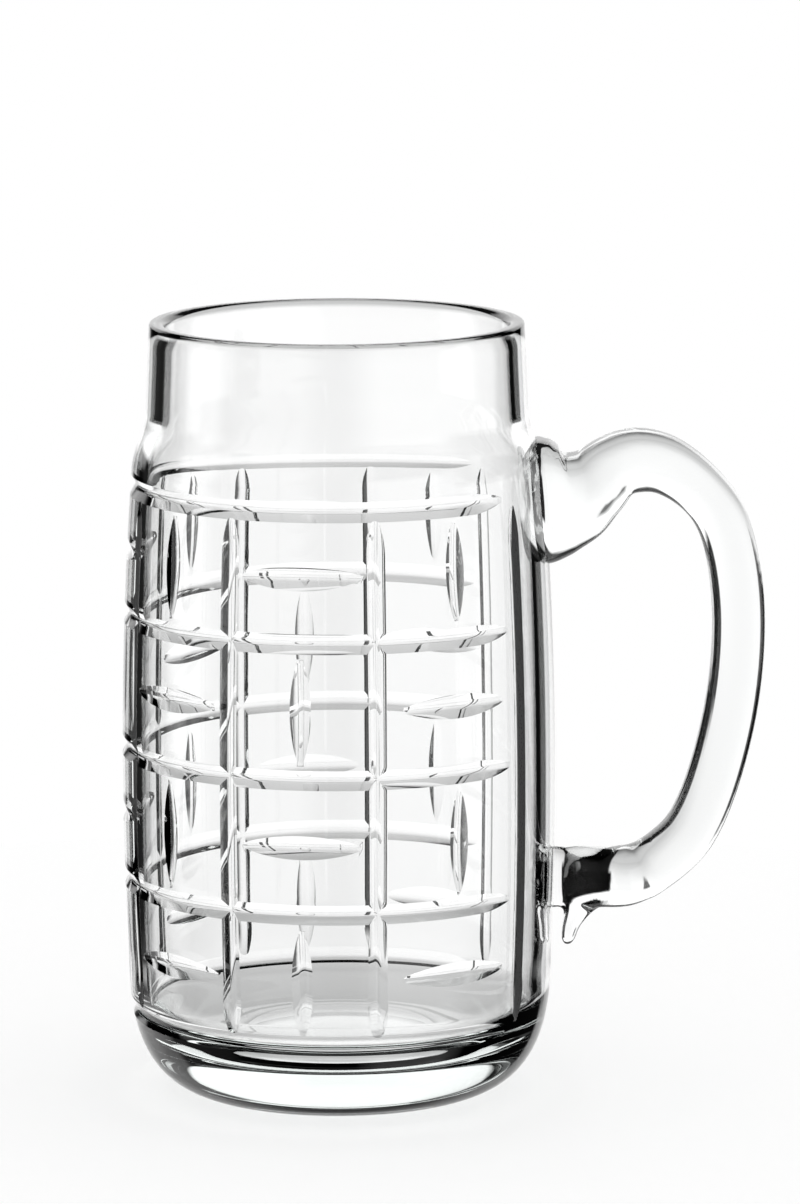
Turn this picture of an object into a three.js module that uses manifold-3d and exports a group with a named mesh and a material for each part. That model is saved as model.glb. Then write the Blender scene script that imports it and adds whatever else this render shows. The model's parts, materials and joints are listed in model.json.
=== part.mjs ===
// A cut-glass beer mug in millimetres: +Z up, origin on its axis in the base face, handle towards +X.
import * as THREE from "three";
import { mergeVertices } from "three/addons/utils/BufferGeometryUtils.js";
import Module from "manifold-3d";

const wasm = await Module();
wasm.setup();
const { sin, cos, tan, max, abs, ceil, PI } = Math;
const { degToRad, lerp, smoothstep, mapLinear } = THREE.MathUtils;

// Outside of the body
const mugHeight = 153.8;
const neckLength = 17.8;
const shoulderLength = 11.5;
const rimRadius = 37;
const neckRadius = 37.8;
const shoulderRadius = 40.7;
const bellyRadius = 43;
const bellyHeight = 64;
const baseEdgeHeight = 27.8;
const baseEdgeFullness = 2.6;
const baseFlatRadius = 22.7;
const rimRounding = 1.1;
const neckHeight = mugHeight - neckLength;
const shoulderHeight = neckHeight - shoulderLength;

// Hollow of the body
const rimWall = 3.4;
const neckWall = 3.4;
const shoulderWall = 3.1;
const barrelWall = 3.7;
const floorThickness = 11;
const floorRoundingWidth = 18;
const floorRoundingHeight = 10;

// Lattice of mitred cuts round the barrel, which leaves a plain panel at the handle
const latticeDrop = 2.2;
const bottomRingHeight = 17.1;
const rowCount = 4;
const topRowTrim = 1.1;
const columnAngle = 40;
const panelFrontAngle = 34.5;
const panelBackAngle = 40;
const cutHalfAngle = 60;
const ringCutWidth = 3.9;
const ringTipGap = 2.2;
const uprightCutWidth = 3.9;
const runOut = 9;
const shortUprightWidth = 4.3;
const shortUprightMargin = 1.6;
const shortLevelWidth = 4.7;
const shortLevelLength = 26.8;
const cutClearance = 1;

// Handle
const handleReach = 36.2;
const upperSealDrop = 6.2;
const lowerSealHeight = 42.2;
const upperPadHalfHeight = 12.2;
const upperPadHalfWidth = 10;
const rodHalfHeight = 5.2;
const rodHalfWidth = 5.7;
const lowerPadHalfHeight = 7.5;
const lowerPadHalfWidth = 8.5;
const pinchHalfWidth = 1.5;
const tailLength = 13.5;
const tailRadius = 4.6;
const sealGap = 0.3;

// Fineness of the faceted solids
const bodySegments = 45;
const ringSteps = 44;
const uprightSteps = 8;
const shortCutSteps = 6;
const rodSides = 14;
const rodSteps = 44;
const tailSides = 10;
const tailSteps = 8;

// Outside radius of the barrel's swelling side
function barrelRadius(z) {
  const swell = (z - bellyHeight) / (shoulderHeight - bellyHeight);
  return bellyRadius - (bellyRadius - shoulderRadius) * swell * swell;
}

// Outside radius of the blank at a height: rounded base edge, barrel, shoulder and neck
function wallRadius(z) {
  if (z < baseEdgeHeight) {
    const drop = (1 - z / baseEdgeHeight) ** baseEdgeFullness;
    const edgeWidth = barrelRadius(baseEdgeHeight) - baseFlatRadius;
    return baseFlatRadius + edgeWidth * (1 - drop) ** (1 / baseEdgeFullness);
  }
  if (z <= shoulderHeight) {
    return barrelRadius(z);
  }
  if (z <= neckHeight) {
    return lerp(shoulderRadius, neckRadius, smoothstep(z, shoulderHeight, neckHeight));
  }
  return mapLinear(z, neckHeight, mugHeight, neckRadius, rimRadius);
}

// Points of the outside, from the edge of the flat base up to the rim, grown outwards by an allowance
function outsidePoints(allowance) {
  const heights = [];
  const edgeSteps = 7;
  for (let i = 0; i < edgeSteps; i++) {
    heights.push(baseEdgeHeight * (1 - cos(((i / edgeSteps) * PI) / 2) ** (2 / baseEdgeFullness)));
  }
  const stretches = [
    [baseEdgeHeight, shoulderHeight, 6],
    [shoulderHeight, neckHeight, 4],
    [neckHeight, mugHeight - rimRounding, 1],
  ];
  for (const [low, high, steps] of stretches) {
    for (let i = 0; i < steps; i++) {
      heights.push(lerp(low, high, i / steps));
    }
  }
  heights.push(mugHeight - rimRounding);
  return heights.map((z) => new THREE.Vector2(wallRadius(z) + allowance, z));
}

// Inside radius of the hollow at a height above its rounded floor edge
function hollowRadius(z) {
  const neck = neckRadius - neckWall;
  const shoulder = shoulderRadius - shoulderWall;
  const belly = bellyRadius - barrelWall;
  if (z >= neckHeight) {
    return mapLinear(z, neckHeight, mugHeight, neck, rimRadius - rimWall);
  }
  if (z >= shoulderHeight) {
    return lerp(shoulder, neck, smoothstep(z, shoulderHeight, neckHeight));
  }
  const swell = (z - bellyHeight) / (shoulderHeight - bellyHeight);
  return belly - (belly - shoulder) * swell * swell;
}

// Points of the hollow, from the rim down to the middle of its floor
function hollowPoints() {
  const floorEdge = floorThickness + floorRoundingHeight;
  const heights = [mugHeight - rimRounding, neckHeight];
  for (let i = 1; i <= 3; i++) {
    heights.push(lerp(neckHeight, shoulderHeight, i / 3));
  }
  for (let i = 1; i <= 3; i++) {
    heights.push(lerp(shoulderHeight, floorEdge, i / 3));
  }
  const points = heights.map((z) => new THREE.Vector2(hollowRadius(z), z));
  const cornerRadius = hollowRadius(floorEdge) - floorRoundingWidth;
  const corner = new THREE.EllipseCurve(
    cornerRadius, floorEdge, floorRoundingWidth, floorRoundingHeight, 0, -PI / 2, true,
  );
  return [...points, ...corner.getPoints(4).slice(1), new THREE.Vector2(0, floorThickness)];
}

function solidOf(geometry) {
  geometry.deleteAttribute("normal");
  geometry.deleteAttribute("uv");
  const merged = mergeVertices(geometry, 1e-4);
  return new wasm.Manifold(
    new wasm.Mesh({
      numProp: 3,
      vertProperties: merged.attributes.position.array,
      triVerts: new Uint32Array(merged.index.array),
    }),
  );
}

// A solid of revolution about +Z from a profile of (radius, height) points
function turned(points) {
  const lathe = new THREE.LatheGeometry(points, bodySegments);
  return solidOf(lathe.rotateX(PI / 2));
}

function meshOf(name, solid, material) {
  const made = solid.getMesh();
  const geometry = new THREE.BufferGeometry();
  geometry.setAttribute("position", new THREE.BufferAttribute(made.vertProperties, 3));
  geometry.setIndex(new THREE.BufferAttribute(made.triVerts, 1));
  geometry.computeVertexNormals();
  const mesh = new THREE.Mesh(geometry, material);
  mesh.name = name;
  return mesh;
}

// The bottom line of a mitred cut. It lies under the glass surface by the cut's depth and rises out of the
// glass at both ends, so that the cut runs out to a point. Place -1 and 1 are the tips of the cut.
class CutLine extends THREE.Curve {
  constructor(cut, pointAt) {
    super();
    this.cut = cut;
    this.pointAt = pointAt;
  }
  getPoint(t, target = new THREE.Vector3()) {
    const { length, width, taper } = this.cut;
    const overrun = cutClearance / length;
    const place = (2 * t - 1) * (1 + overrun);
    const intoTaper = max(0, (abs(place) * length) / 2 - (length / 2 - taper)) / taper;
    const depth = (width / 2 / tan(degToRad(cutHalfAngle))) * (1 - intoTaper * intoTaper);
    return target.copy(this.pointAt((place * length) / 2, depth));
  }
}

// The glass that a mitred wheel takes out along a cut line
function cutter(line, steps) {
  const height = line.cut.width / 2 / tan(degToRad(cutHalfAngle)) + cutClearance;
  const halfTop = height * tan(degToRad(cutHalfAngle));
  const mitre = new THREE.Shape();
  mitre.moveTo(0, 0);
  mitre.lineTo(halfTop, height);
  mitre.lineTo(-halfTop, height);
  mitre.closePath();
  return new THREE.ExtrudeGeometry(mitre, { steps, extrudePath: line });
}

// A level cut, centred on an angle round the axis
function levelCut(angle, height, cut, steps) {
  const surface = wallRadius(height);
  const line = new CutLine(cut, (along, depth) => {
    const turn = degToRad(angle) - along / surface;
    const r = surface - depth;
    return new THREE.Vector3(r * cos(turn), r * sin(turn), height);
  });
  return solidOf(cutter(line, steps));
}

// An upright cut, centred on a height of the barrel
function uprightCut(angle, height, cut, steps) {
  const line = new CutLine(cut, (along, depth) => {
    const z = height + along;
    return new THREE.Vector3(wallRadius(z) - depth, 0, z);
  });
  return solidOf(cutter(line, steps).rotateZ(degToRad(angle)));
}

function latticeCuts() {
  const top = shoulderHeight - latticeDrop;
  const rowHeight = (top - bottomRingHeight + topRowTrim) / rowCount;
  const ringHeights = [top];
  for (let row = 1; row <= rowCount; row++) {
    ringHeights.push(top + topRowTrim - row * rowHeight);
  }
  const cuts = [];

  for (const height of ringHeights) {
    const spread = degToRad(360 - panelFrontAngle - panelBackAngle) * wallRadius(height);
    const ring = { width: ringCutWidth, length: spread - 2 * ringTipGap, taper: runOut };
    cuts.push(levelCut(180 + (panelBackAngle - panelFrontAngle) / 2, height, ring, ringSteps));
  }

  const sharedEdges = [];
  const panelAngle = max(panelFrontAngle, panelBackAngle);
  for (let edge = 180 - columnAngle / 2; edge > panelAngle + columnAngle / 2; edge -= columnAngle) {
    sharedEdges.push(edge);
  }
  const backEdges = [...sharedEdges, panelBackAngle];
  const frontEdges = [...sharedEdges, panelFrontAngle];
  const upright = { width: uprightCutWidth, length: top - bottomRingHeight, taper: runOut };
  for (const angle of [...backEdges, ...frontEdges.map((edge) => -edge)]) {
    cuts.push(uprightCut(angle, (top + bottomRingHeight) / 2, upright, uprightSteps));
  }

  const columns = [180];
  for (let i = 0; i + 1 < backEdges.length; i++) {
    columns.push((backEdges[i] + backEdges[i + 1]) / 2, -(frontEdges[i] + frontEdges[i + 1]) / 2);
  }
  for (const [order, angle] of columns.entries()) {
    const columnFromBack = ceil(order / 2);
    for (let row = 0; row < rowCount; row++) {
      const height = (ringHeights[row] + ringHeights[row + 1]) / 2;
      if ((row + columnFromBack) % 2 === 0) {
        const cut = { width: shortLevelWidth, length: shortLevelLength, taper: shortLevelLength / 2 };
        cuts.push(levelCut(angle, height, cut, shortCutSteps));
      } else {
        const length = ringHeights[row] - ringHeights[row + 1] - 2 * shortUprightMargin;
        const cut = { width: shortUprightWidth, length, taper: length / 2 };
        cuts.push(uprightCut(angle, height, cut, shortCutSteps));
      }
    }
  }
  return cuts;
}

// A rod of glass along a bent centre line in the XZ plane, whose thickness changes from point to point
function drawnRod(centres, halfThicknesses, sides, steps) {
  const path = new THREE.CatmullRomCurve3(centres);
  const girth = new THREE.CatmullRomCurve3(halfThicknesses);
  const positions = [];
  const index = [];
  for (let i = 0; i <= steps; i++) {
    const centre = path.getPoint(i / steps);
    const along = path.getTangent(i / steps);
    const half = girth.getPoint(i / steps);
    for (let k = 0; k < sides; k++) {
      const turn = (2 * PI * k) / sides;
      const across = half.x * cos(turn);
      positions.push(centre.x - along.z * across, half.y * sin(turn), centre.z + along.x * across);
    }
  }
  for (let i = 0; i < steps; i++) {
    for (let k = 0; k < sides; k++) {
      const a = i * sides + k;
      const b = i * sides + ((k + 1) % sides);
      index.push(a, a + sides, b, b, a + sides, b + sides);
    }
  }
  const last = steps * sides;
  for (let k = 1; k + 1 < sides; k++) {
    index.push(0, k, k + 1, last, last + k + 1, last + k);
  }
  const geometry = new THREE.BufferGeometry();
  geometry.setAttribute("position", new THREE.Float32BufferAttribute(positions, 3));
  geometry.setIndex(index);
  return solidOf(geometry);
}

// Centre line of the handle: shares of the reach outwards and of the rise from the lower to the upper seal,
// with the half height and half width there
function handleBow() {
  const toUpperPad = (share) => [
    lerp(rodHalfHeight, upperPadHalfHeight, share),
    lerp(rodHalfWidth, upperPadHalfWidth, share),
  ];
  const toPinch = (share) => [
    lerp(rodHalfHeight, lowerPadHalfHeight, share * 0.4),
    lerp(rodHalfWidth, pinchHalfWidth, share),
  ];
  const bow = [
    [-0.2, 0.99, ...toUpperPad(1)],
    [-0.033, 0.997, ...toUpperPad(0.97)],
    [0.05, 1.002, ...toUpperPad(0.81)],
    [0.127, 1.012, ...toUpperPad(0.6)],
    [0.221, 1.04, ...toUpperPad(0.35)],
    [0.332, 1.084, ...toUpperPad(0.19)],
    [0.445, 1.098, ...toUpperPad(0.15)],
    [0.597, 1.087, ...toUpperPad(0.07)],
    [0.79, 1.023, ...toUpperPad(0)],
    [0.917, 0.934, ...toUpperPad(0)],
    [1.0, 0.714, ...toUpperPad(0)],
    [0.942, 0.4, ...toUpperPad(0)],
    [0.735, 0.12, ...toUpperPad(0)],
    [0.43, 0.012, ...toPinch(0)],
    [0.29, 0.0, ...toPinch(0.2)],
    [0.15, 0.0, ...toPinch(0.8)],
    [0.085, 0.0, ...toPinch(1)],
    [0.0, 0.0, lowerPadHalfHeight, lerp(pinchHalfWidth, lowerPadHalfWidth, 0.45)],
    [-0.2, 0.0, lowerPadHalfHeight, lowerPadHalfWidth],
  ];
  const rise = shoulderHeight - upperSealDrop - lowerSealHeight;
  const centres = bow.map(
    ([out, up]) => new THREE.Vector3(bellyRadius + out * handleReach, 0, lowerSealHeight + up * rise),
  );
  const halves = bow.map(([, , halfHeight, halfWidth]) => new THREE.Vector3(halfHeight, halfWidth, 0));
  return drawnRod(centres, halves, rodSides, rodSteps);
}

// The snipped end that hangs from the lower seal along the wall
function handleTail() {
  const wall = wallRadius(lowerSealHeight);
  const tail = [
    [tailRadius * 1.9, -0.04, tailRadius * 0.93],
    [tailRadius * 1.4, -0.26, tailRadius * 0.8],
    [tailRadius, -0.48, tailRadius * 0.57],
    [tailRadius * 0.67, -0.74, tailRadius * 0.35],
    [tailRadius * 0.54, -0.93, tailRadius * 0.26],
    [tailRadius * 0.5, -1, tailRadius * 0.12],
  ];
  const centres = tail.map(
    ([out, down]) => new THREE.Vector3(wall + out, 0, lowerSealHeight + down * tailLength),
  );
  const halves = tail.map(([, , half]) => new THREE.Vector3(half, half, 0));
  return drawnRod(centres, halves, tailSides, tailSteps);
}

// The body: a turned blank with its hollow, less the cuts
const axisPoint = new THREE.Vector2(0, 0);
const rimLand = [
  new THREE.Vector2(rimRadius - rimRounding, mugHeight),
  new THREE.Vector2(rimRadius - rimWall + rimRounding, mugHeight),
];
let body = turned([axisPoint, ...outsidePoints(0), ...rimLand, ...hollowPoints()]);
for (const cut of latticeCuts()) {
  body = body.subtract(cut);
}

// The handle: rod and tail as one lump, shaped to the wall that it is sealed on
const wallEnvelope = turned([
  axisPoint,
  ...outsidePoints(sealGap),
  new THREE.Vector2(0, mugHeight - rimRounding),
]);
const handle = handleBow().add(handleTail()).subtract(wallEnvelope);

const clearGlass = { color: 0xe9efed, roughness: 0.04, metalness: 0, transparent: true, opacity: 0.4 };
const mug = new THREE.Group();
mug.name = "beer_mug";
mug.add(meshOf("body", body, new THREE.MeshStandardMaterial(clearGlass)));
mug.add(meshOf("handle", handle, new THREE.MeshStandardMaterial(clearGlass)));

export default mug;
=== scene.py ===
# %% [markdown]
# # A cut-glass beer mug
# A heavy half-litre mug of clear glass: a blown barrel with a thick floor and a plain neck, a lattice
# of mitred cuts ground into its side, and a handle drawn from a hot rod and pressed on. The CAD frame
# holds both pieces as plain solids, which could simply be made of glass, but glass shows every facet.
# So this lesson reads their sizes, models both again, finer, in the same space, and sets a bright
# studio round them.

# %% Load the frame
import json
import math

import bmesh
import bpy
from mathutils import Matrix, Vector

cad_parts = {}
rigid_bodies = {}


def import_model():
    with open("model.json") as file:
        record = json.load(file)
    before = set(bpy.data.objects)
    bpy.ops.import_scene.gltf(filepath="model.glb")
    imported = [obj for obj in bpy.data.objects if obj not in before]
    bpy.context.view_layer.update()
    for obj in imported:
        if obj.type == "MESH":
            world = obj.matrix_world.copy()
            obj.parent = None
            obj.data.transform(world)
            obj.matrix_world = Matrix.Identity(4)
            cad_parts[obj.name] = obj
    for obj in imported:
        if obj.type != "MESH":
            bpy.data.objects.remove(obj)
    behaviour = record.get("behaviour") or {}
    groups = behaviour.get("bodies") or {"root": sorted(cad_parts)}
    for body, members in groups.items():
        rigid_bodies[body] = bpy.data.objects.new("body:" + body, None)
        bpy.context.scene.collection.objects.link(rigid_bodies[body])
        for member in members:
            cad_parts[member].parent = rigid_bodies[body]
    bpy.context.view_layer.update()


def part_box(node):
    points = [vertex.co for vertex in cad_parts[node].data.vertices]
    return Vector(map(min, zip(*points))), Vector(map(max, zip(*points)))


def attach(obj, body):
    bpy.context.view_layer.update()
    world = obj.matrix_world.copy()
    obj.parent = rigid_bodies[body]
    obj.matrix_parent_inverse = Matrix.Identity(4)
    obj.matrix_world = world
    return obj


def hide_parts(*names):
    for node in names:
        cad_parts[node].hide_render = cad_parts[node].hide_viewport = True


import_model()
MM = 0.001
body_low, body_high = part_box("body")
mug_height = body_high.z
belly_radius = min(-body_low.x, -body_low.y, body_high.y)
print("mug height and belly radius in mm:", round(mug_height / MM, 2), round(belly_radius / MM, 2))

# %% [markdown]
# ## The outside of the blank
# A blown mug is round about its axis, so one line tells its whole shape. From the foot up it is a
# rounded heel, a barrel that swells by two millimetres, a soft shoulder and a plain neck. The line
# could be drawn by eye as a curve. A radius worked out for each height is used instead, because the
# cuts and the handle have to find the wall again later.

# %% The outside
shoulder_height = mug_height - 29.3 * MM
neck_height = mug_height - 17.8 * MM
belly_height = 64 * MM
heel_height = 27.8 * MM
heel_fullness = 2.6
foot_radius = 22.7 * MM
shoulder_radius = belly_radius - 2.3 * MM
neck_radius = belly_radius - 5.2 * MM
rim_radius = belly_radius - 6 * MM


def smooth_step(t):
    t = max(0.0, min(1.0, t))
    return t * t * (3 - 2 * t)


def swell(z):
    return ((z - belly_height) / (shoulder_height - belly_height)) ** 2


def up_the_shoulder(z):
    return smooth_step((z - shoulder_height) / (neck_height - shoulder_height))


def up_the_neck(z):
    return (z - neck_height) / (mug_height - neck_height)


def wall_radius(z):
    if z < heel_height:
        edge = belly_radius - (belly_radius - shoulder_radius) * swell(heel_height)
        drop = (1 - z / heel_height) ** heel_fullness
        return foot_radius + (edge - foot_radius) * (1 - drop) ** (1 / heel_fullness)
    if z <= shoulder_height:
        return belly_radius - (belly_radius - shoulder_radius) * swell(z)
    if z <= neck_height:
        return shoulder_radius + (neck_radius - shoulder_radius) * up_the_shoulder(z)
    return neck_radius + (rim_radius - neck_radius) * up_the_neck(z)


for place, z in (("heel", heel_height), ("shoulder", shoulder_height), ("rim", mug_height)):
    print("radius in mm at the", place, round(wall_radius(z) / MM, 2))

# %% [markdown]
# ## The hollow
# The hollow follows the outside at the depth of the wall, which is thickest in the barrel, and runs
# into the thick floor through a wide soft corner. A Solidify modifier would give one even wall all
# over, so the hollow has its own radius at each height.

# %% The hollow
barrel_wall = 3.7 * MM
shoulder_wall = 3.1 * MM
neck_wall = 3.4 * MM
floor_height = 11 * MM
corner_width = 18 * MM
corner_rise = 10 * MM
floor_edge = floor_height + corner_rise


def hollow_radius(z):
    belly = belly_radius - barrel_wall
    shoulder = shoulder_radius - shoulder_wall
    neck = neck_radius - neck_wall
    if z >= neck_height:
        return neck + (rim_radius - neck_wall - neck) * up_the_neck(z)
    if z >= shoulder_height:
        return shoulder + (neck - shoulder) * up_the_shoulder(z)
    return belly - (belly - shoulder) * swell(z)


print("hollow in mm at its widest:", round(hollow_radius(belly_height) / MM * 2, 2), "across")

# %% [markdown]
# ## The profile
# The rim was ground flat and melted round again, more on its inner edge. A bevel on the finished rim
# could make that, but two quarter circles in the profile are quicker and exact. The points of the
# profile are close where the line bends and further apart where it runs straight, so that no facet
# shows.

# %% The profile of the blank
rim_outside = 0.6 * MM
rim_inside = 1.6 * MM
rim_steps = 6


def between(a, b, steps):
    return [a + (b - a) * i / steps for i in range(steps)]


def rim_quarter(radius, size, towards):
    turns = [math.pi / 2 * i / rim_steps for i in range(rim_steps + 1)]
    return [
        (radius + towards * size * (1 - math.cos(t)), mug_height - size * (1 - math.sin(t)))
        for t in turns
    ]


heel_turns = between(0, math.pi / 2, steps=24)
heights = [heel_height * (1 - math.cos(t) ** (2 / heel_fullness)) for t in heel_turns[1:]]
heights += between(heel_height, shoulder_height, steps=60)
heights += between(shoulder_height, neck_height, steps=14)
heights += between(neck_height, mug_height - rim_outside, steps=8)
outside = [(foot_radius, 0.0)] + [(wall_radius(z), z) for z in heights]

rim = rim_quarter(rim_radius, rim_outside, -1)
rim += rim_quarter(rim_radius - neck_wall, rim_inside, 1)[::-1]

heights = between(mug_height - rim_inside, neck_height, steps=6)[1:]
heights += between(neck_height, shoulder_height, steps=14)
heights += between(shoulder_height, floor_edge, steps=40)
hollow = [(hollow_radius(z), z) for z in heights]
corner_centre = hollow_radius(floor_edge) - corner_width
corner_turns = between(0, math.pi / 2, steps=20) + [math.pi / 2]
hollow += [
    (corner_centre + corner_width * math.cos(t), floor_edge - corner_rise * math.sin(t))
    for t in corner_turns
]
profile = outside + rim + hollow
print("points outside, on the rim and inside:", len(outside), len(rim), len(hollow))

# %% [markdown]
# ## Turning the blank
# The glass was turned on the pipe all the while, which keeps it round. Here a plane merged to its
# middle leaves one point. It is extruded along the profile, up the outside, over the rim and down the
# hollow, and a Screw modifier without pitch turns the line once round the axis. The Spin operator could
# do it too. The modifier is chosen because it also merges the ends of the line on the axis.

# %% Body blank
steps_round = 360
same_place = 1e-7


def start_piece(name):
    bpy.context.object.name = name
    bpy.context.object.data.name = name
    bpy.ops.object.mode_set(mode="EDIT")
    bpy.ops.mesh.select_all(action="SELECT")
    return bpy.context.object


def close_piece(piece):
    bpy.ops.mesh.select_all(action="SELECT")
    bpy.ops.mesh.remove_doubles(threshold=same_place)
    bpy.ops.mesh.normals_make_consistent(inside=False)
    bpy.ops.object.mode_set(mode="OBJECT")
    return piece


def modify(piece, kind, **values):
    bpy.ops.object.modifier_add(type=kind)
    step = piece.modifiers[-1]
    for name, value in values.items():
        setattr(step, name, value)
    bpy.ops.object.modifier_apply(modifier=step.name)


def turn_on_axis(name, points):
    bpy.ops.object.select_all(action="DESELECT")
    bpy.ops.mesh.primitive_plane_add(size=MM)
    piece = start_piece(name)
    bpy.ops.mesh.merge(type="CENTER")
    line = [(0, points[0][1])] + points + [(0, points[-1][1])]
    for (r0, z0), (r1, z1) in zip(line, line[1:]):
        bpy.ops.mesh.extrude_region_move(TRANSFORM_OT_translate={"value": (r1 - r0, 0, z1 - z0)})
    bpy.ops.object.mode_set(mode="OBJECT")
    modify(
        piece, "SCREW", steps=steps_round, render_steps=steps_round,
        use_merge_vertices=True, merge_threshold=same_place,
    )
    bpy.ops.object.mode_set(mode="EDIT")
    return close_piece(piece)


mug_body = turn_on_axis("mug_body", profile)
print("faces in the blank:", len(mug_body.data.polygons))

# %% [markdown]
# ## The edge of the mitre wheel
# The lattice was ground with a stone whose edge is a V. The cuts could be modelled into the wall face
# by face, but where they cross that is hard. So each cut gets a cutter, the glass that the stone takes
# away. It starts as a triangle with its point on the bottom of the cut and its broad side clear of the
# wall. A circle of three points gives the triangle, and a vertex bevel rounds its point as wear rounds
# the stone.

# %% One section of a cut
wheel_half_angle = math.radians(60)
clearance = 1.2 * MM
worn_share = 0.22


def depth_of(width):
    return width / 2 / math.tan(wheel_half_angle)


def mitre(name, width, height, level):
    """A triangle on the +X side, its point inwards. A level one stands in XZ, an upright one lies in XY."""
    tall = depth_of(width) + clearance
    bpy.ops.object.select_all(action="DESELECT")
    # On a unit circle the triangle is 1.5 tall, half its base is sin 60 degrees, its centre a third up
    bpy.ops.mesh.primitive_circle_add(
        vertices=3, radius=1, fill_type="NGON",
        location=(wall_radius(height) + clearance - tall / 3, 0, height),
        rotation=(0, math.pi / 2 if level else 0, math.pi / 2),
    )
    half_base = tall * math.tan(wheel_half_angle)
    bpy.context.object.scale = (half_base / math.sin(math.pi / 3), tall / 1.5, 1)
    bpy.ops.object.transform_apply(location=True, rotation=True, scale=True)
    piece = start_piece(name)
    bpy.ops.mesh.select_all(action="DESELECT")
    section = bmesh.from_edit_mesh(piece.data)
    point = min(section.verts, key=lambda v: v.co.x)
    point.select = True
    section.select_flush(True)
    bpy.ops.mesh.bevel(offset=worn_share * width, segments=4, affect="VERTICES")
    bpy.ops.mesh.select_all(action="SELECT")
    return piece


print("a cut 4 mm wide is", round(depth_of(4), 2), "mm deep before its point is rounded")

# %% [markdown]
# ## The path of the wheel
# On the real mug the wheel stood still and the glass was moved against it. Here Spin carries the
# section along an arc: round the mug for a level cut, up the swelling side for an upright one, or round
# the wheel's own axle where it lifts off. A curve as a path would do too, but arcs give the exact
# depth. The side is a parabola, and the circle that fits it at the belly is close enough to steer by.
# Spin and rotate count some angles backwards, so the helpers set the sign.

# %% Moving a section
barrel_curve = (shoulder_height - belly_height) ** 2 / (2 * (belly_radius - shoulder_radius))
barrel_centre = Vector((belly_radius - barrel_curve, 0, belly_height))
mug_axis = (0, 0, 0)
ROUND_THE_MUG = (0, 0, 1)
UP_THE_BARREL = (0, -1, 0)
OFF_THE_WHEEL = (0, 1, 0)


def sweep(angle, centre, axis, steps):
    bpy.ops.mesh.spin(steps=steps, angle=-angle, center=centre, axis=axis)


def turn(angle, centre, axis):
    sign = 1 if axis == UP_THE_BARREL else -1
    about = "Z" if axis == ROUND_THE_MUG else "Y"
    bpy.ops.transform.rotate(value=sign * angle, orient_axis=about, center_override=centre)


def run_straight(x, y):
    bpy.ops.mesh.extrude_region_move(TRANSFORM_OT_translate={"value": (x, y, 0)})


def lean(height):
    return math.asin((height - belly_height) / barrel_curve)


def out_from_barrel(angle, distance):
    return barrel_centre + distance * Vector((math.cos(angle), 0, math.sin(angle)))


print("the side swells on a radius of", round(barrel_curve / MM), "mm")

# %% [markdown]
# ## The rings
# Five rings go round the barrel and stop short of the plain panel at the handle. There the wheel leaves
# the glass along a straight line, so each ring ends in a point. The panel reaches a little further
# round at the back, as hand cutting leaves it. A full ring with the panel filled in again would be
# simpler, but it would end bluntly.

# %% Ring cutters
lattice_top = shoulder_height - 2.2 * MM
lattice_foot = 17.1 * MM
rows = 4
top_row_trim = 1.1 * MM
row_height = (lattice_top - lattice_foot + top_row_trim) / rows
ring_heights = [lattice_top]
ring_heights += [lattice_top + top_row_trim - row * row_height for row in range(1, rows + 1)]
# Edges of the panel in degrees from the handle
panel_front, panel_back = 34.5, 40
ring_width = 3.9 * MM
ring_tip_gap = 2.2 * MM


def ring_cutter(height):
    outer = wall_radius(height)
    bottom = outer - depth_of(ring_width)
    lift = math.sqrt(outer ** 2 - bottom ** 2)
    ends = 2 * (ring_tip_gap / outer + math.atan(lift / bottom))
    front, back = math.radians(panel_front), math.radians(panel_back)
    arc = 2 * math.pi - front - back - ends
    ring = mitre("ring_cutter", ring_width, height, level=True)
    bpy.ops.transform.translate(value=(0, -lift - clearance, 0))
    run_straight(0, lift + clearance)
    sweep(arc, mug_axis, ROUND_THE_MUG, steps=290)
    run_straight(-math.sin(arc) * (lift + clearance), math.cos(arc) * (lift + clearance))
    bpy.ops.mesh.select_all(action="SELECT")
    turn(math.pi - arc / 2 + (back - front) / 2, mug_axis, ROUND_THE_MUG)
    return close_piece(ring)


rings = [ring_cutter(z) for z in ring_heights]
print("rings at heights in mm:", [round(z / MM, 1) for z in ring_heights])

# %% [markdown]
# ## The uprights
# Eight uprights follow the swelling side and run out at both ends, where the wheel lifts off on its own
# curve. Two of them are the edges of the panel. Each could be modelled in its place, but they are
# alike, so one cutter is made on the +X side and copied round the mug.

# %% Upright cutters
upright_width = 3.9 * MM
run_out = 9 * MM
upright_angles = [160, -160, 120, -120, 80, -80, panel_back, -panel_front]


def select_only(pieces):
    bpy.ops.object.select_all(action="DESELECT")
    for piece in pieces:
        piece.select_set(True)
    bpy.context.view_layer.objects.active = pieces[0]


def copies_round(piece, angles):
    made = []
    for angle in angles:
        select_only([piece])
        bpy.ops.object.duplicate()
        bpy.ops.transform.rotate(value=-math.radians(angle), orient_axis="Z", center_override=mug_axis)
        bpy.ops.object.transform_apply(location=True, rotation=True, scale=True)
        made.append(bpy.context.object)
    bpy.data.objects.remove(piece)
    return made


def upright_cutter():
    depth = depth_of(upright_width)
    wheel = run_out ** 2 / 2 / depth
    low = lean(lattice_foot + run_out)
    high = lean(lattice_top - run_out)
    lift = math.asin((run_out + clearance) / wheel)
    low_axle = out_from_barrel(low, barrel_curve - depth + wheel)
    high_axle = out_from_barrel(high, barrel_curve - depth + wheel)
    upright = mitre("upright_cutter", upright_width, belly_height, level=False)
    turn(low, barrel_centre, UP_THE_BARREL)
    turn(-lift, low_axle, OFF_THE_WHEEL)
    sweep(lift, low_axle, OFF_THE_WHEEL, steps=10)
    sweep(high - low, barrel_centre, UP_THE_BARREL, steps=60)
    sweep(lift, high_axle, OFF_THE_WHEEL, steps=10)
    return close_piece(upright)


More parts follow.
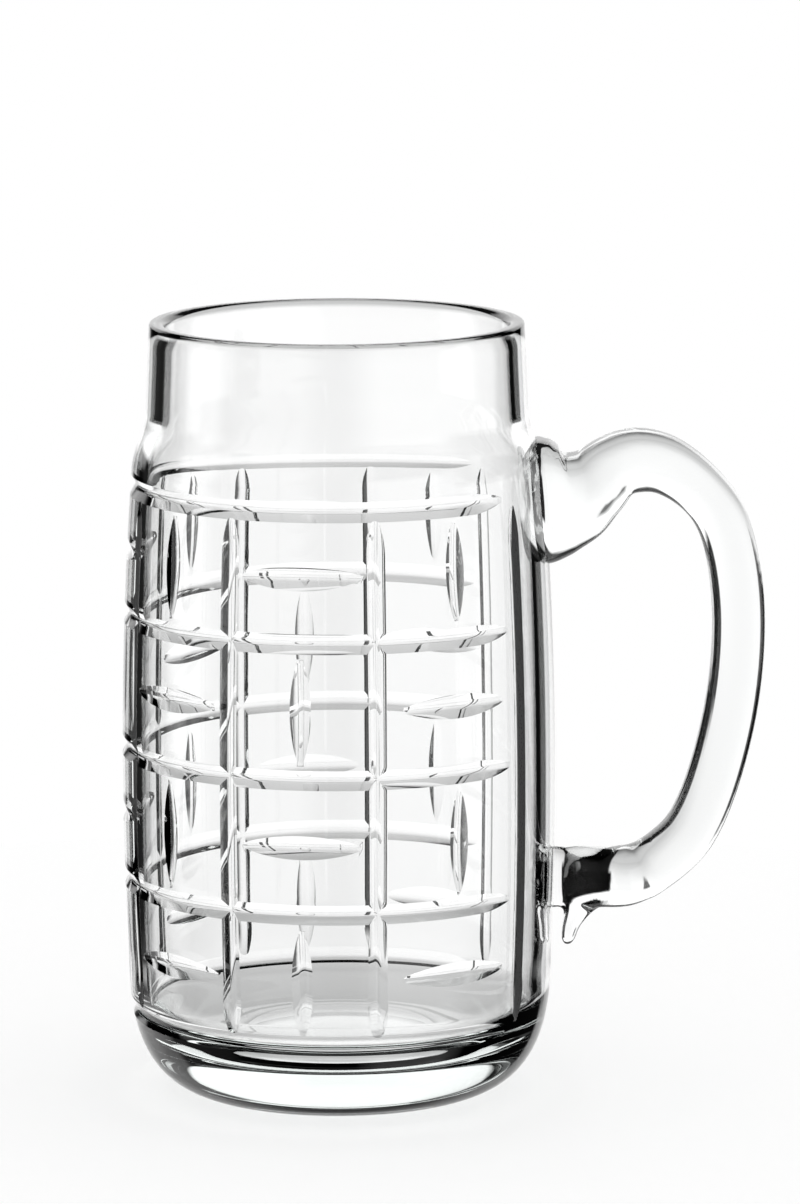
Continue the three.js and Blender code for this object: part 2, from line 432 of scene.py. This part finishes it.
uprights = copies_round(upright_cutter(), upright_angles)
print("uprights:", len(uprights))

# %% [markdown]
# ## The short cuts
# Each field of the lattice holds one short cut. An upright one is the mark of the wheel itself, pressed
# in and lifted off. For a level one the mug was rolled a little under the wheel, so the bottom of the
# cut is flatter than the wall and runs out at both ends. A scaled ball would leave a similar mark, but
# not the sharp V. The curve of a path, one over its radius, is 8 depths over the square of its chord.

# %% Cutters of the short cuts
short_upright_width = 4.3 * MM
short_level_width = 4.7 * MM
short_level_length = 26.8 * MM


def short_upright_cutter(height, length):
    depth = depth_of(short_upright_width)
    wheel = 1 / (8 * depth / length ** 2 - 1 / barrel_curve)
    half_turn = math.asin((length / 2 + clearance) / wheel)
    axle = out_from_barrel(0, barrel_curve - depth + wheel)
    short = mitre("short_upright_cutter", short_upright_width, belly_height, level=False)
    turn(-half_turn, axle, OFF_THE_WHEEL)
    sweep(2 * half_turn, axle, OFF_THE_WHEEL, steps=30)
    bpy.ops.mesh.select_all(action="SELECT")
    turn(lean(height), barrel_centre, UP_THE_BARREL)
    return close_piece(short)


def short_level_cutter(height):
    depth = depth_of(short_level_width)
    path = 1 / (1 / wall_radius(height) - 8 * depth / short_level_length ** 2)
    half_turn = math.asin((short_level_length / 2 + clearance) / path)
    centre = (wall_radius(height) - depth - path, 0, 0)
    short = mitre("short_level_cutter", short_level_width, height, level=True)
    turn(-half_turn, centre, ROUND_THE_MUG)
    sweep(2 * half_turn, centre, ROUND_THE_MUG, steps=36)
    return close_piece(short)


print("short cuts are", round(depth_of(short_level_width) / MM, 2), "mm deep where they lie level")

# %% [markdown]
# ## Where the short cuts go
# Level and upright take turns from field to field, along a row and from row to row, as on a chessboard.
# The places could be listed one by one. Counting the columns from the side opposite the handle tells
# the turn of each instead.

# %% Short cuts in their fields
short_upright_margin = 1.6 * MM
# Order of a column from the side opposite the handle, and its angles in degrees from the handle
columns = [(0, [180]), (1, [140, -140]), (2, [100, -100]), (3, [60, -57.25])]
shorts = []
for row in range(rows):
    middle = (ring_heights[row] + ring_heights[row + 1]) / 2
    length = ring_heights[row] - ring_heights[row + 1] - 2 * short_upright_margin
    level = [a for order, angles in columns if (row + order) % 2 == 0 for a in angles]
    upright = [a for order, angles in columns if (row + order) % 2 for a in angles]
    shorts += copies_round(short_level_cutter(middle), level)
    shorts += copies_round(short_upright_cutter(middle, length), upright)
print("short cuts:", len(shorts))

# %% [markdown]
# ## Grinding the lattice
# The cuts of one kind don't meet, so they are joined and taken out of the blank together with a
# Boolean. One Boolean for each cut would do the same more slowly. Smoothing by angle then keeps the
# barrel round and the edges of the cuts crisp, which flat or all-over smooth shading could not do.

# %% Cutting the body
lattice_crisp_from = 20


def combine(piece, others, operation):
    select_only(others)
    if len(others) > 1:
        bpy.ops.object.join()
    tool = bpy.context.object
    select_only([piece])
    modify(piece, "BOOLEAN", operation=operation, solver="MANIFOLD", object=tool)
    bpy.data.objects.remove(tool)


def smooth(piece, degrees):
    select_only([piece])
    bpy.ops.object.shade_smooth_by_angle(angle=math.radians(degrees))


def triangles(piece):
    piece.data.calc_loop_triangles()
    return len(piece.data.loop_triangles)


for cutters in (rings, uprights, shorts):
    combine(mug_body, cutters, "DIFFERENCE")
smooth(mug_body, lattice_crisp_from)
print("triangles in the body:", triangles(mug_body))

# %% [markdown]
# ## The bow of the handle
# A hot rod of glass was pressed to the wall below the shoulder as a broad pad, drawn out over a hump
# into a bow and pressed on again low down. There it was pinched thin, and the rest was snipped off as a
# small tail. The bow could be a curve object with handles to pull. Here stations are listed, each with
# its place and how high and wide the rod is there, because every one can then be measured and moved
# alone. The first and the last stand inside the wall.

# %% Stations of the bow and the tail
handle_reach = 36.2 * MM
low_seal = 42.2 * MM
high_seal = shoulder_height - 6.2 * MM
seal_rise = high_seal - low_seal
# Share of the reach, share of the rise, half height and half width in mm
bow_stations = [
    (-0.2, 0.99, 12.3, 10.2), (-0.033, 0.997, 12.2, 9.7), (0.05, 1.002, 10.9, 9.2), (0.127, 1.012, 9.2, 8.5),
    (0.221, 1.0405, 7.3, 7.6), (0.332, 1.0845, 6.2, 6.9), (0.445, 1.099, 6.2, 6.4), (0.597, 1.087, 5.75, 6),
    (0.79, 1.023, 5.2, 5.7), (0.917, 0.934, 5.2, 5.7), (1.0, 0.714, 5.2, 5.7), (0.942, 0.4, 5.2, 5.7),
    (0.735, 0.12, 5.2, 5.7), (0.5, 0.022, 5.4, 5.9), (0.45, 0.012, 5.5, 6.6), (0.41, 0.006, 5.6, 7.2),
    (0.37, 0.002, 5.7, 7.1), (0.32, 0, 5.8, 6.3), (0.26, 0, 5.9, 5.2), (0.2, 0, 6, 4.1), (0.14, 0, 6.2, 3),
    (0.08, 0, 6.3, 1.95), (0.03, 0, 6.4, 1.1), (0, 0, 6.5, 0.9), (-0.03, 0, 6.6, 1.3), (-0.2, 0, 7, 4),
]
# Out from the belly, down from the lower seal, half height and half width, all in mm
tail_stations = [
    (10.5, -1.5, 4.6, 4.2), (8.6, 0.6, 4.4, 3.5), (6.4, 3.5, 3.9, 2.6), (4.6, 6.5, 2.8, 1.9),
    (3.1, 10, 1.9, 1.5), (2.5, 12.9, 1.5, 1.4), (2.3, 14.2, 0.7, 0.7),
]
bow = [
    Vector((belly_radius + out * handle_reach, low_seal + up * seal_rise, half * MM, wide * MM))
    for out, up, half, wide in bow_stations
]
tail = [
    Vector((belly_radius + out * MM, low_seal - down * MM, half * MM, wide * MM))
    for out, down, half, wide in tail_stations
]
print("stations on the bow and the tail:", len(bow), len(tail))

# %% [markdown]
# ## A smooth line through the stations
# Soft glass hangs in a line without kinks. Straight steps from station to station would show as bands
# in clear glass. So a cubic runs from each station to the next, with its slopes taken from the
# neighbours and their distances.

# %% The line of the rod
steps_per_station = 8


def smooth_line(points):
    """Each point on the line holds x, z, half height and half width."""
    line = []
    ends = [2 * points[0] - points[1]] + points + [2 * points[-1] - points[-2]]
    for p0, p1, p2, p3 in zip(ends, ends[1:], ends[2:], ends[3:]):
        d0, d1, d2 = ((b - a).length ** 0.5 for a, b in ((p0, p1), (p1, p2), (p2, p3)))
        start = ((p1 - p0) / d0 - (p2 - p0) / (d0 + d1) + (p2 - p1) / d1) * d1
        stop = ((p2 - p1) / d1 - (p3 - p1) / (d1 + d2) + (p3 - p2) / d2) * d1
        for i in range(steps_per_station):
            t = i / steps_per_station
            here = (2 * t ** 3 - 3 * t ** 2 + 1) * p1 + (t ** 3 - 2 * t ** 2 + t) * start
            there = (3 * t ** 2 - 2 * t ** 3) * p2 + (t ** 3 - t ** 2) * stop
            line.append(here + there)
    return line + [points[-1]]


bow_line = smooth_line(bow)
tail_line = smooth_line(tail)
print("points on the bow and the tail:", len(bow_line), len(tail_line))

# %% [markdown]
# ## Drawing the rod
# The rod's section is a circle squared a little, and rounder on the inside of the bow than on the
# outside. It is extruded along the line, and each step is moved, turned and scaled to the rod there. A
# bevelled curve would be quicker, but its section can't grow in height and width by different shares.

# %% The rod and its tail
# On the inside and the outside of the bow, where 2 would be a circle
rod_squareness = (2.9, 4.4)
tail_squareness = (2.6, 2.6)


def draw_rod(name, line, sides, squareness):
    bpy.ops.object.select_all(action="DESELECT")
    bpy.ops.mesh.primitive_circle_add(vertices=sides, radius=1, fill_type="NGON")
    piece = start_piece(name)
    for v in bmesh.from_edit_mesh(piece.data).verts:
        power = squareness[0] if v.co.x > 0 else squareness[1]
        v.co *= (abs(v.co.x) ** power + abs(v.co.y) ** power) ** (-1 / power)
    here, facing, half, wide = Vector((0, 0)), 0.0, 1.0, 1.0
    for i, station in enumerate(line):
        ahead = (line[min(i + 1, len(line) - 1)] - line[max(i - 1, 0)]).xy
        angle = math.atan2(ahead.x, ahead.y)
        move = {"value": (station.x - here.x, 0, station.y - here.y)}
        if i:
            bpy.ops.mesh.extrude_region_move(TRANSFORM_OT_translate=move)
        else:
            bpy.ops.transform.translate(**move)
        centre = (station.x, 0, station.y)
        bpy.ops.transform.rotate(value=-(angle - facing), orient_axis="Y", center_override=centre)
        grow = station.z / half
        bpy.ops.transform.resize(value=(grow, station.w / wide, grow), center_override=centre)
        here, facing, half, wide = station.xy, angle, station.z, station.w
    return close_piece(piece)


mug_handle = draw_rod("mug_handle", bow_line, sides=48, squareness=rod_squareness)
handle_tail = draw_rod("handle_tail", tail_line, sides=32, squareness=tail_squareness)
combine(mug_handle, [handle_tail], "UNION")
print("triangles in the rod with its tail:", triangles(mug_handle))

# %% [markdown]
# ## Fire polish
# Where the tail hangs from the rod the hot glass flowed together and left no edge. A bevel on the seam
# would need a clean loop of edges there, which a Boolean doesn't leave. So a voxel Remesh makes one
# even skin of both, and Smooth rounds it. The pinch at the lower seal melted most, so the points near
# it are selected by their place and smoothed again.

# %% One soft skin
skin_voxel = 0.34 * MM
pinch_reach = belly_radius + 19 * MM
pinch_top = low_seal + 10 * MM
modify(mug_handle, "REMESH", mode="VOXEL", voxel_size=skin_voxel)
modify(mug_handle, "SMOOTH", factor=0.5, iterations=15)
bpy.ops.object.mode_set(mode="EDIT")
skin = bmesh.from_edit_mesh(mug_handle.data)
softened = 0
for v in skin.verts:
    v.select = v.co.x < pinch_reach and v.co.z < pinch_top
    softened += v.select
skin.select_flush_mode()
bmesh.update_edit_mesh(mug_handle.data)
bpy.ops.mesh.vertices_smooth(factor=0.5, repeat=30)
bpy.ops.object.mode_set(mode="OBJECT")
print("points smoothed again at the lower seal:", softened)

# %% [markdown]
# ## The seals
# Both ends of the rod were melted to the wall. They could be joined to the body, but the handle is a
# piece of its own. So its ends run into the wall, and the turned outside of the mug, a hair larger, is
# taken out of them with a Boolean. The pads then fit the barrel, and the hair of air between draws
# their dark edges.

# %% Seating the handle on the wall
seal_gap = 0.05 * MM
pad_crisp_from = 40
wall_envelope = turn_on_axis("wall_envelope", [(r + seal_gap, z) for r, z in outside])
combine(mug_handle, [wall_envelope], "DIFFERENCE")
smooth(mug_handle, pad_crisp_from)
print("triangles in the handle:", triangles(mug_handle))

# %% [markdown]
# ## Clear glass
# The glass is colourless, with a trace of grey green that only shows where light runs far through it. A
# tinted surface would colour thin and thick glass alike, so the tint is absorption in the volume. A
# very faint waviness in bump and colour, shorter on the drawn handle than on the blown body, keeps the
# polish from looking computed.

# %% Glass
glass_index = 1.52
depth_tint = (0.62, 0.74, 0.70, 1)
depth_strength = 5


def node_of(tree, kind, **values):
    node = tree.nodes.new(kind)
    for name, value in values.items():
        node.inputs[name.replace("_", " ")].default_value = value
    return node


def clear_glass(name, wave_size, wave_height):
    made = bpy.data.materials.new(name)
    made.use_nodes = True
    tree = made.node_tree
    shader = tree.nodes["Principled BSDF"]
    shader.inputs["IOR"].default_value = glass_index
    shader.inputs["Transmission Weight"].default_value = 1
    shader.inputs["Roughness"].default_value = 0.0
    place = tree.nodes.new("ShaderNodeTexCoord")
    waves = node_of(tree, "ShaderNodeTexNoise", Scale=1 / wave_size, Detail=1.0)
    tree.links.new(place.outputs["Object"], waves.inputs["Vector"])
    bump = node_of(tree, "ShaderNodeBump", Strength=1.0, Distance=wave_height)
    tree.links.new(waves.outputs["Fac"], bump.inputs["Height"])
    tree.links.new(bump.outputs["Normal"], shader.inputs["Normal"])
    tint = node_of(tree, "ShaderNodeMapRange", To_Min=0.985, To_Max=1.0)
    tree.links.new(waves.outputs["Fac"], tint.inputs["Value"])
    tree.links.new(tint.outputs["Result"], shader.inputs["Base Color"])
    depth = node_of(tree, "ShaderNodeVolumeAbsorption", Color=depth_tint, Density=depth_strength)
    tree.links.new(depth.outputs["Volume"], tree.nodes["Material Output"].inputs["Volume"])
    return made


body_glass = clear_glass("clear_body_glass", wave_size=30 * MM, wave_height=0.01 * MM)
handle_glass = clear_glass("clear_handle_glass", wave_size=14 * MM, wave_height=0.02 * MM)
print("glasses:", body_glass.name, handle_glass.name)

# %% [markdown]
# ## Glass on the pieces
# Both pieces of the mug are rigid and ride on its one body. Each takes the place of its CAD solid, which is
# then hidden, and gets its glass.

# %% Pieces in the frame
for piece, node, slot, glass in (
    (mug_body, "body", "body_glass", body_glass),
    (mug_handle, "handle", "handle_glass", handle_glass),
):
    piece.data.materials.clear()
    piece.data.materials.append(glass)
    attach(piece, "root")
    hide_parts(node)
    print(piece.name, "takes the place of", node, "in slot", slot)

# %% [markdown]
# ## The floor
# The mug stands on a matt white disc that takes its soft shadow. A large plane would do as well, but
# seen through the glass any floor ends in a line. So rays that have met glass don't see the disc and
# look at the studio instead.

# %% Floor
floor_radius = 250 * MM
floor_drop = 0.2 * MM
bpy.ops.object.select_all(action="DESELECT")
bpy.ops.mesh.primitive_circle_add(
    vertices=64, radius=floor_radius, fill_type="NGON", location=(0, 0, -floor_drop),
)
floor = bpy.context.object
floor.name = "studio_floor"
paint = bpy.data.materials.new("white_floor")
paint.use_nodes = True
tree = paint.node_tree
place = tree.nodes.new("ShaderNodeTexCoord")
speckle = node_of(tree, "ShaderNodeTexNoise", Scale=3.0)
shade = node_of(tree, "ShaderNodeMapRange", To_Min=0.995, To_Max=1.0)
matt = tree.nodes["Principled BSDF"]
matt.inputs["Roughness"].default_value = 1.0
matt.inputs["Specular IOR Level"].default_value = 0.0
tree.links.new(place.outputs["Object"], speckle.inputs["Vector"])
tree.links.new(speckle.outputs["Fac"], shade.inputs["Value"])
tree.links.new(shade.outputs["Result"], matt.inputs["Base Color"])
floor.data.materials.append(paint)
floor.visible_transmission = False
floor.visible_glossy = False
print("radius of the floor in mm:", round(floor_radius / MM))

# %% [markdown]
# ## What the glass sees
# Clear glass only shows by what it bends into view. Round the mug stand bright screens with dark gaps
# between them, and the gaps draw its dark edges. They could be lit planes, but those would light the
# floor unevenly, so they are painted on the world by direction. Four lists give a compass angle in
# degrees, which is 0 at -X and 90 at -Y, and the brightness there: screens at eye level, screens above
# it, one more at the left, and the table below. The last list says what share of it is left at each
# height, from -1 straight down to 1 straight up.

# %% The screens
screens = [
    (0, 0.004), (95, 0.004), (116, 1.15), (205, 1.1), (211, 0.004), (243, 0.004), (244, 1.1), (288, 1.1),
    (289.5, 0.13), (294, 0.1), (296, 0.006), (310, 0.006), (314, 0.06), (338, 0.06), (342, 0.8), (353, 0.8),
    (357, 0.004),
]
screens_above = [
    (0, 0.004), (95, 0.004), (116, 1.15), (154, 1.15), (170, 0.004), (225, 0.004), (229, 1.4), (255, 1.4),
    (264, 1.22), (280, 1.22), (290, 1.3), (310, 1.3), (314, 0.006),
]
left_screen = [(0, 1.05), (10, 1.05), (16, 0), (344, 0), (350, 1.05)]
table_round = [
    (0, 0.24), (18, 0.22), (26, 0.05), (60, 0.02), (100, 0.02), (116, 1.2), (154, 1.2), (170, 0.015),
    (236, 0.015), (240, 1.05), (303, 1.05), (308, 1.3), (330, 1.3), (336, 0.24),
]
share_at_height = [
    (-1, 0.5), (-0.95, 0.4), (-0.87, 0.2), (-0.82, 0.3), (-0.74, 0.5), (-0.64, 0.62), (-0.53, 0.64),
    (-0.5, 0.59), (-0.39, 0.72), (-0.29, 0.86), (-0.18, 0.96), (-0.08, 1), (0.36, 1), (0.44, 0.03),
]
print("brightest screen:", max(light for at, light in screens + screens_above + table_round))

# %% [markdown]
# ## The direction of a ray
# In a real studio a screen stands in one direction from the mug. The world knows the direction of each
# ray, and its compass angle and its height are taken from that. A picture of the studio wrapped round
# the scene could do the same, but numbers are easier to change.

# %% Compass and height
world = bpy.data.worlds.new("studio")
bpy.context.scene.world = world
world.use_nodes = True
world.cycles.sampling_method = "NONE"
tree = world.node_tree
direction = tree.nodes.new("ShaderNodeTexCoord")
split = tree.nodes.new("ShaderNodeSeparateXYZ")
tree.links.new(direction.outputs["Generated"], split.inputs["Vector"])
compass = tree.nodes.new("ShaderNodeMath")
compass.operation = "ARCTAN2"
tree.links.new(split.outputs["Y"], compass.inputs[0])
tree.links.new(split.outputs["X"], compass.inputs[1])
print("nodes for the direction:", len(tree.nodes))

# %% [markdown]
# ## The lists as ramps
# The screens have soft edges, as lit cloth has. A Color Ramp holds a whole list with its fades in one
# node, where a chain of Math nodes would be hard to read. Map Range first brings the angle or the
# height to the 0 to 1 that a ramp reads.

# %% Ramps
height = split.outputs["Z"]


def ranged(source, low, high):
    share = node_of(tree, "ShaderNodeMapRange", From_Min=low, From_Max=high)
    tree.links.new(source, share.inputs["Value"])
    return share.outputs["Result"]


def ramp_of(share, stops, first, last):
    ramp = tree.nodes.new("ShaderNodeValToRGB")
    while len(ramp.color_ramp.elements) < len(stops):
        ramp.color_ramp.elements.new(0.5)
    for stop, (at, light) in zip(ramp.color_ramp.elements, stops):
        stop.position = (at - first) / (last - first)
        stop.color = (light, light, light, 1)
    tree.links.new(share, ramp.inputs["Fac"])
    return ramp.outputs["Color"]


def round_the_compass(stops):
    return ramp_of(ranged(compass.outputs["Value"], -math.pi, math.pi), stops, 0, 360)


at_eye_level = round_the_compass(screens)
above = round_the_compass(screens_above)
at_the_left = round_the_compass(left_screen)
on_the_table = round_the_compass(table_round)
kept_share = ramp_of(ranged(height, -1, 1), share_at_height, -1, 1)
print("nodes with the ramps:", len(tree.nodes))

# %% [markdown]
# ## The room
# The lists meet at certain heights: the upper screens begin just over eye level, the left screen ends
# above the table, and straight down it is white, as the floor is. One ramp for each height would take
# many nodes, so Mix nodes put one list over the other in a narrow band of heights.

# %% Putting the room together
upper_screens_from = (-0.01, 0.06)
left_screen_from = (-0.23, -0.2)
table_from = (-0.24, -0.3)
white_below = (-0.92, -0.88)


def mixed(factor, first, second, blend="MIX"):
    """Puts the second over the first. No factor means all of it, and no first means white."""
    mix = tree.nodes.new("ShaderNodeMix")
    mix.data_type = "RGBA"
    mix.blend_type = blend
    # A Mix node has sockets for every data type, and those for colour are 6 and 7 in, and 2 out
    share, under, over = mix.inputs["Factor"], mix.inputs[6], mix.inputs[7]
    share.default_value = 1
    under.default_value = (1, 1, 1, 1)
    for source, socket in ((factor, share), (first, under), (second, over)):
        if source is not None:
            tree.links.new(source, socket)
    return mix.outputs[2]


room = mixed(ranged(height, *upper_screens_from), at_eye_level, above)
room_and_left = mixed(None, room, at_the_left, "ADD")
room = mixed(ranged(height, *left_screen_from), room, room_and_left)
room = mixed(ranged(height, *table_from), room, on_the_table)
room = mixed(None, room, kept_share, "MULTIPLY")
room = mixed(ranged(height, *white_below), None, room)
print("nodes that paint the room:", len(tree.nodes))

# %% [markdown]
# ## White for everything else
# Only a ray that comes from the camera and has met glass last looks at the room. The camera itself and
# the floor see plain white of strength 1, so the ground is white and its light stays soft and even.
# Separate worlds can't be given to separate rays, but Light Path tells the rays apart, and one that has
# met the floor counts as the floor's.

# %% Who sees what
ray = tree.nodes.new("ShaderNodeLightPath")
by_glass = tree.nodes.new("ShaderNodeMath")
by_glass.operation = "MAXIMUM"
tree.links.new(ray.outputs["Is Glossy Ray"], by_glass.inputs[0])
tree.links.new(ray.outputs["Is Transmission Ray"], by_glass.inputs[1])
from_camera = tree.nodes.new("ShaderNodeMath")
from_camera.operation = "SUBTRACT"
from_camera.use_clamp = True
tree.links.new(by_glass.outputs["Value"], from_camera.inputs[0])
tree.links.new(ray.outputs["Diffuse Depth"], from_camera.inputs[1])
background = tree.nodes["Background"]
tree.links.new(mixed(from_camera.outputs["Value"], None, room), background.inputs["Color"])
print("strength of the world:", background.inputs["Strength"].default_value)

# %% [markdown]
# ## The camera
# A long lens looks down on the mug at about ten degrees, as one would photograph a glass on a table.
# The mug stands a little off the middle of the picture. A lens shift could do that, but the camera is turned
# a little past the mug instead, and rolled by a third of a degree.

# %% Camera
aim = Vector((0, 0, 77.33 * MM))
distance = 1.32565
rise = math.radians(10.579)
roll = math.radians(-0.31)
# The direction in which the camera has the aim: left of its middle, below it, and ahead
aim_seen = Vector((-61.3, -102, -6690))
bpy.ops.object.camera_add()
camera = bpy.context.object
bpy.context.scene.camera = camera
camera.data.lens = 200
camera.data.clip_end = 50
camera.location = aim + distance * Vector((0, -math.cos(rise), math.sin(rise)))
camera.rotation_mode = "QUATERNION"
camera.rotation_quaternion = (
    (aim - camera.location).to_track_quat("-Z", "Y")
    @ Matrix.Rotation(roll, 4, "Z").to_quaternion()
    @ Vector((0, 0, -1)).rotation_difference(aim_seen).inverted()
)
print("camera at", [round(x, 3) for x in camera.location])

# %% [markdown]
# ## How far a ray is followed
# Light goes through many faces of a cut mug and is thrown to and fro in its thick parts. With more
# steps these parts turn grey. Here a ray may pass many faces but is dropped after four reflections,
# because what runs on inside the rim, the heel and the sides then stays black, as these edges look
# against a white ground.

# %% Light paths
scene = bpy.context.scene
scene.view_settings.view_transform = "Standard"
scene.cycles.max_bounces = 32
scene.cycles.transmission_bounces = 32
scene.cycles.glossy_bounces = 4
scene.cycles.blur_glossy = 0
print("reflections and passages followed:", scene.cycles.glossy_bounces, scene.cycles.transmission_bounces)
